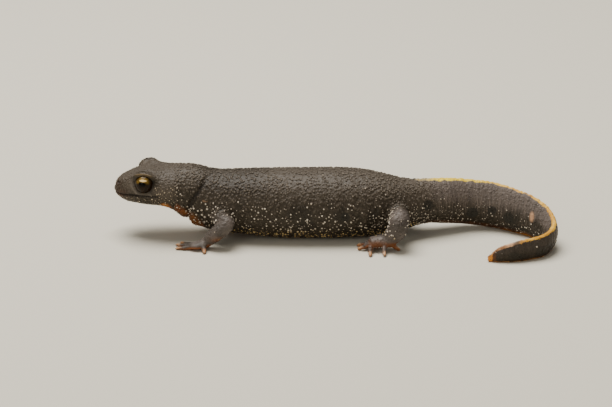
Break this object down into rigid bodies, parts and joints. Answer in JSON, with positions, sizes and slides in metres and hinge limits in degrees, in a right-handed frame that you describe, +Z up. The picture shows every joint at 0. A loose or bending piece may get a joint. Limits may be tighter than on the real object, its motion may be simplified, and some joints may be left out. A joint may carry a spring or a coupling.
{
  "type": "balkan crested newt",
  "caption": "Life-size model of a young balkan crested newt standing on level ground, its flat tail curled round to the side.",
  "frame": {"origin": "centre of the newt's bounding box in X and Y, on the ground it stands on", "axes": "the newt faces -X, its left side is -Y, and +Z is up"},
  "size_m": [0.0822, 0.0296, 0.0136],
  "materials": {
    "skin": "matte, warty",
    "limb_skin": "matte",
    "toe_skin": "matte",
    "eye": "glossy"
  },
  "bodies": {
    "root": {"head": "skin", "neck": "skin", "trunk": "skin", "tail_root": "skin", "tail_middle": "skin", "tail_bend": "skin", "tail_return": "skin", "tail_tip": "skin", "eye_left": "eye", "eye_right": "eye", "foreleg_left_upper": "limb_skin", "foreleg_left_lower": "limb_skin", "forefoot_left": "toe_skin", "foreleg_right_upper": "limb_skin", "foreleg_right_lower": "limb_skin", "forefoot_right": "toe_skin", "hindleg_left_upper": "limb_skin", "hindleg_left_lower": "limb_skin", "hindfoot_left": "toe_skin", "hindleg_right_upper": "limb_skin", "hindleg_right_lower": "limb_skin", "hindfoot_right": "toe_skin"}
  },
  "joints": []
}
